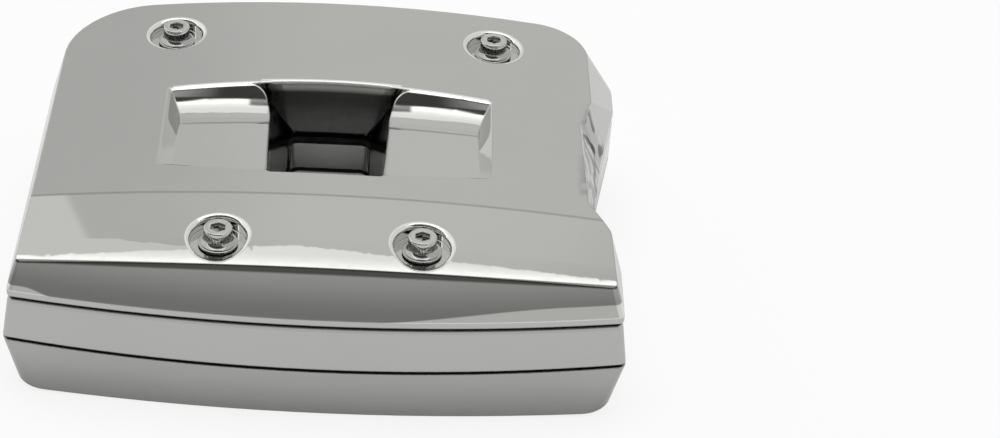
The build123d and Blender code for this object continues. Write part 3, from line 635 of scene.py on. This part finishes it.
# %% Steel
def fine_steel(name, shade, squeeze):
    """Bare steel with fine lines: a number above 1 in squeeze packs them along that axis."""
    look = bpy.data.materials.new(name)
    tree = Tree(look)
    where = position(tree)
    drawn = tree.node("ShaderNodeVectorMath", {"operation": "MULTIPLY"},
                      {0: where, 1: squeeze})
    lines = noise(tree, drawn, 1.0, 3.0)
    stain = noise(tree, where, 9.0, 3.0)
    level = shade + 0.08 * lines - 0.06 * stain
    colour = tree.node("ShaderNodeCombineColor", {}, {0: level, 1: level * 0.99, 2: level * 0.97})
    bump = tree.node("ShaderNodeBump", {}, {"Strength": 0.4, "Distance": 0.02 * MM,
                                            "Height": lines})
    skin = tree.node("ShaderNodeBsdfPrincipled", {},
                     {"Base Color": colour, "Metallic": 1.0,
                      "Roughness": 0.24 + 0.12 * stain + 0.06 * lines, "Normal": bump})
    tree.node("ShaderNodeOutputMaterial", {}, {"Surface": skin})
    print(name, "has", len(tree.nodes), "nodes")
    return look


dowel_steel = fine_steel("dowel_steel", 0.55, (0.6, 0.6, 6.0))
baffle_steel = fine_steel("baffle_steel", 0.50, (6.0, 0.3, 0.6))

# %% [markdown]
# ## A finish for every piece
#
# The pieces of the solid model carry plain names, such as cover, gasket or dowel. A word in the
# name picks the finish, so a piece that is added later gets the right one by itself. The three
# castings have none of the words and get the chrome.

# %% Give every piece of the solid model its finish
FINISHES = {"gasket": gasket_rubber, "seal": seal_rubber, "valve": seal_rubber,
            "baffle_screw": dowel_steel, "dowel": dowel_steel, "baffle": baffle_steel,
            "screw": screw_chrome, "collar": collar_chrome}
for name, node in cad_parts.items():
    found = [look for word, look in FINISHES.items() if word in name]
    look = found[0] if found else chrome
    for slot in node.material_slots:
        slot.material = look
    print(name, "->", look.name)

# %% [markdown]
# ## Cap screws
#
# Each cover screw is a socket head cap screw: a round head with a chamfered crown, a band of
# straight knurling that gives fingers a grip, and a hexagonal socket. It could be carved from a
# sculpt or bought as a stock shape. Here it is turned from a cylinder, as a lathe would turn it:
# the crown is chamfered, the knurl is pressed in face by face, the shank is drawn out from under
# the head, and the socket is cut with a hexagonal prism.

# %% Helpers for picking in edit mode
TOUCH = 0.001 * MM


def pick(kind, test):
    """Select the faces or edges of the piece being edited that pass a test."""
    mesh = bpy.context.object.data
    bpy.ops.mesh.select_mode(type=kind)
    bpy.ops.mesh.select_all(action="DESELECT")
    shape = bmesh.from_edit_mesh(mesh)
    group = shape.faces if kind == "FACE" else shape.edges
    chosen = [item for item in group if test(item)]
    for item in chosen:
        item.select_set(True)
    bmesh.update_edit_mesh(mesh)
    return len(chosen)


def lies_at(part, z):
    """Whether a face or an edge lies level at this height."""
    return all(abs(vertex.co.z - z) < TOUCH for vertex in part.verts)


def from_axis(part):
    """How far each corner of a face or an edge is from the screw's axis."""
    return [math.hypot(v.co.x - axis_x, v.co.y - axis_y) for v in part.verts]


# %% Turn the head
HEAD_SIDES = 120
HEAD_HEIGHT = 4.3 * MM
CROWN = 0.55 * MM
KNURL_LOW, KNURL_HIGH = 0.3 * MM, 2.9 * MM
screw_low, screw_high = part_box("cover_screw_front_left")
axis_x, axis_y = (screw_low[0] + screw_high[0]) / 2, (screw_low[1] + screw_high[1]) / 2
head_radius = (screw_high[0] - screw_low[0]) / 2
head_top = screw_high[2]
head_low = head_top - HEAD_HEIGHT

bpy.ops.object.select_all(action="DESELECT")
bpy.ops.mesh.primitive_cylinder_add(vertices=HEAD_SIDES, radius=head_radius, depth=HEAD_HEIGHT,
                                    location=(axis_x, axis_y, head_top - HEAD_HEIGHT / 2))
screw = bpy.context.object
bpy.ops.object.transform_apply(location=True)
bpy.ops.object.mode_set(mode="EDIT")
pick("EDGE", lambda edge: lies_at(edge, head_top))
bpy.ops.mesh.bevel(offset=CROWN, segments=3)
for rise in (KNURL_LOW, KNURL_HIGH):
    bpy.ops.mesh.select_all(action="SELECT")
    bpy.ops.mesh.bisect(plane_co=(axis_x, axis_y, head_low + rise), plane_no=(0, 0, 1))
print("head", round(2 * head_radius / MM, 2), "mm across")

# %% Press in the knurling
GROOVE_EDGE, GROOVE_DEPTH = 0.03 * MM, 0.24 * MM
IN_BAND = 0.1 * MM


def in_knurl(face):
    centre = face.calc_center_median()
    angle = math.atan2(centre.y - axis_y, centre.x - axis_x)
    place = round(angle / math.tau * HEAD_SIDES - 0.5)
    rise = centre.z - head_low
    in_band = KNURL_LOW + IN_BAND < rise < KNURL_HIGH - IN_BAND
    return in_band and abs(face.normal.z) < 0.1 and place % 2 == 0


screw.data.materials.append(screw_chrome)
screw.data.materials.append(groove_shade_chrome)
grooves = pick("FACE", in_knurl)
bpy.ops.mesh.inset(thickness=GROOVE_EDGE, depth=-GROOVE_DEPTH, use_individual=True)
# The groove faces take the dark plate, painted shade in the knurling.
screw.active_material_index = 1
bpy.ops.object.material_slot_assign()
print("knurl grooves:", grooves)

# %% Draw out the shank
SHANK_RADIUS = 3.175 * MM
SHANK_CHAMFER = 0.5 * MM
pick("FACE", lambda face: face.normal.z < -0.9 and lies_at(face, head_low))
bpy.ops.mesh.inset(thickness=head_radius - SHANK_RADIUS)
bpy.ops.mesh.extrude_region_move(
    TRANSFORM_OT_translate={"value": (0, 0, screw_low[2] - head_low)})
pick("EDGE", lambda edge: lies_at(edge, screw_low[2]))
bpy.ops.mesh.bevel(offset=SHANK_CHAMFER, segments=1)
bpy.ops.object.mode_set(mode="OBJECT")
print("shank", round((head_low - screw_low[2]) / MM, 1), "mm long")

# %% Cut the socket
SOCKET_ACROSS = 4.76 * MM
SOCKET_DEPTH = 2.6 * MM
socket_radius = SOCKET_ACROSS / 2 / math.cos(math.radians(30))
bpy.ops.object.select_all(action="DESELECT")
bpy.ops.mesh.primitive_cylinder_add(vertices=6, radius=socket_radius, depth=2 * SOCKET_DEPTH,
                                    location=(axis_x, axis_y, head_top))
punch = bpy.context.object
bpy.ops.object.transform_apply(location=True)
bpy.context.view_layer.objects.active = screw
cut = screw.modifiers.new("socket", "BOOLEAN")
cut.operation = "DIFFERENCE"
cut.solver = "EXACT"
cut.object = punch
bpy.ops.object.modifier_apply(modifier="socket")
bpy.data.objects.remove(punch)
print("socket", round(SOCKET_ACROSS / MM, 2), "mm across")


# %% Soften the socket's mouth
MOUTH_CHAMFER = 0.22 * MM
SHARP = math.radians(32)


def socket_mouth(edge):
    return lies_at(edge, head_top) and max(from_axis(edge)) < socket_radius + 10 * TOUCH


bpy.ops.object.select_all(action="DESELECT")
screw.select_set(True)
bpy.context.view_layer.objects.active = screw
bpy.ops.object.mode_set(mode="EDIT")
mouth = pick("EDGE", socket_mouth)
bpy.ops.mesh.bevel(offset=MOUTH_CHAMFER, segments=2)
bpy.ops.mesh.select_all(action="SELECT")
bpy.ops.mesh.normals_make_consistent(inside=False)
bpy.ops.object.mode_set(mode="OBJECT")
bpy.ops.object.shade_smooth_by_angle(angle=SHARP)
print("socket mouth edges:", mouth, "faces in the screw:", len(screw.data.polygons))

# %% [markdown]
# The four screws are alike. One could be drawn four times, but a copy is exact. The other three
# are copies, each with its own mesh, moved to the place that the solid model gives.

# %% Set the screws in place
def middle_of(name):
    low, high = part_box(name)
    return Vector(((low[0] + high[0]) / 2, (low[1] + high[1]) / 2, high[2]))


def set_in_corners(first, stem, node_stem):
    """Put a turned piece in the first corner and a copy of it in each of the others."""
    start = middle_of(f"{node_stem}_{CORNERS[0]}")
    for corner in CORNERS:
        piece = first
        if corner != CORNERS[0]:
            piece = first.copy()
            piece.data = first.data.copy()
            bpy.context.scene.collection.objects.link(piece)
            step = middle_of(f"{node_stem}_{corner}") - start
            piece.data.transform(Matrix.Translation(step))
        piece.name = f"{stem}_{corner}"
        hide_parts(f"{node_stem}_{corner}")
        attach(piece, "root")
        print(piece.name, "set in place")


set_in_corners(screw, "cap_screw", "cover_screw")

# %% [markdown]
# ## Flared collars
#
# Under each head sits a turned collar: a thin rim that spreads the load and a neck that flares up
# to the head in a hollow curve. Its outline could be drawn and spun. Here it is pulled up from a
# flat disc ring by ring, each ring extruded and then scaled, which follows the turned profile
# closely and keeps the rings in view as they are made.

# %% Pull up the collar
COLLAR_SIDES = 96
DISC_HEIGHT = 0.45 * MM
HOLE_RADIUS = 3.525 * MM
PROFILE = [(6.45, 0.62), (6.05, 0.62), (5.85, 0.52), (5.5, 0.62), (5.0, 0.86), (4.55, 1.25),
           (4.25, 1.7), (4.12, 2.1)]
collar_low, collar_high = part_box("collar_washer_front_left")
collar_radius = (collar_high[0] - collar_low[0]) / 2
axis = Vector((axis_x, axis_y, 0))

bpy.ops.object.select_all(action="DESELECT")
bpy.ops.mesh.primitive_cylinder_add(vertices=COLLAR_SIDES, radius=collar_radius,
                                    depth=DISC_HEIGHT,
                                    location=(axis_x, axis_y, collar_low[2] + DISC_HEIGHT / 2))
collar = bpy.context.object
bpy.ops.object.transform_apply(location=True)
bpy.ops.object.mode_set(mode="EDIT")
pick("FACE", lambda face: face.normal.z > 0.9)
radius, height = collar_radius, DISC_HEIGHT
for ring_radius, ring_height in PROFILE:
    rise = ring_height * MM - height
    shrink = ring_radius * MM / radius
    bpy.ops.mesh.extrude_region_move(TRANSFORM_OT_translate={"value": (0, 0, rise)})
    bpy.ops.transform.resize(value=(shrink, shrink, 1), center_override=axis)
    radius, height = ring_radius * MM, ring_height * MM
bpy.ops.mesh.inset(thickness=radius - HOLE_RADIUS)
print("collar rings:", len(PROFILE), "height", round(height / MM, 2), "mm")

# %% Bore the hole through it
SMOOTH_TURN = math.radians(40)
pick("FACE", lambda face: face.normal.z < -0.9)
bpy.ops.mesh.inset(thickness=collar_radius - HOLE_RADIUS)


def in_hole(face):
    return len(face.verts) == COLLAR_SIDES and max(from_axis(face)) < HOLE_RADIUS + 10 * TOUCH


ends = pick("FACE", in_hole)
bpy.ops.mesh.bridge_edge_loops()
bpy.ops.mesh.select_all(action="SELECT")
bpy.ops.mesh.normals_make_consistent(inside=False)
bpy.ops.object.mode_set(mode="OBJECT")
bpy.ops.object.shade_smooth_by_angle(angle=SMOOTH_TURN)
collar.data.materials.append(collar_chrome)
print("bored between", ends, "end faces")
set_in_corners(collar, "flared_collar", "collar_washer")

# %% [markdown]
# ## Measure and finish
#
# The dressed object has to stay inside the box of its solid model, so both boxes are measured and
# written down side by side.

# %% Finish
visual_low, visual_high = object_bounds()
visual_size = [round((high - low) / MM, 1) for low, high in zip(visual_low, visual_high)]
print("dressed model:", visual_size, "mm")
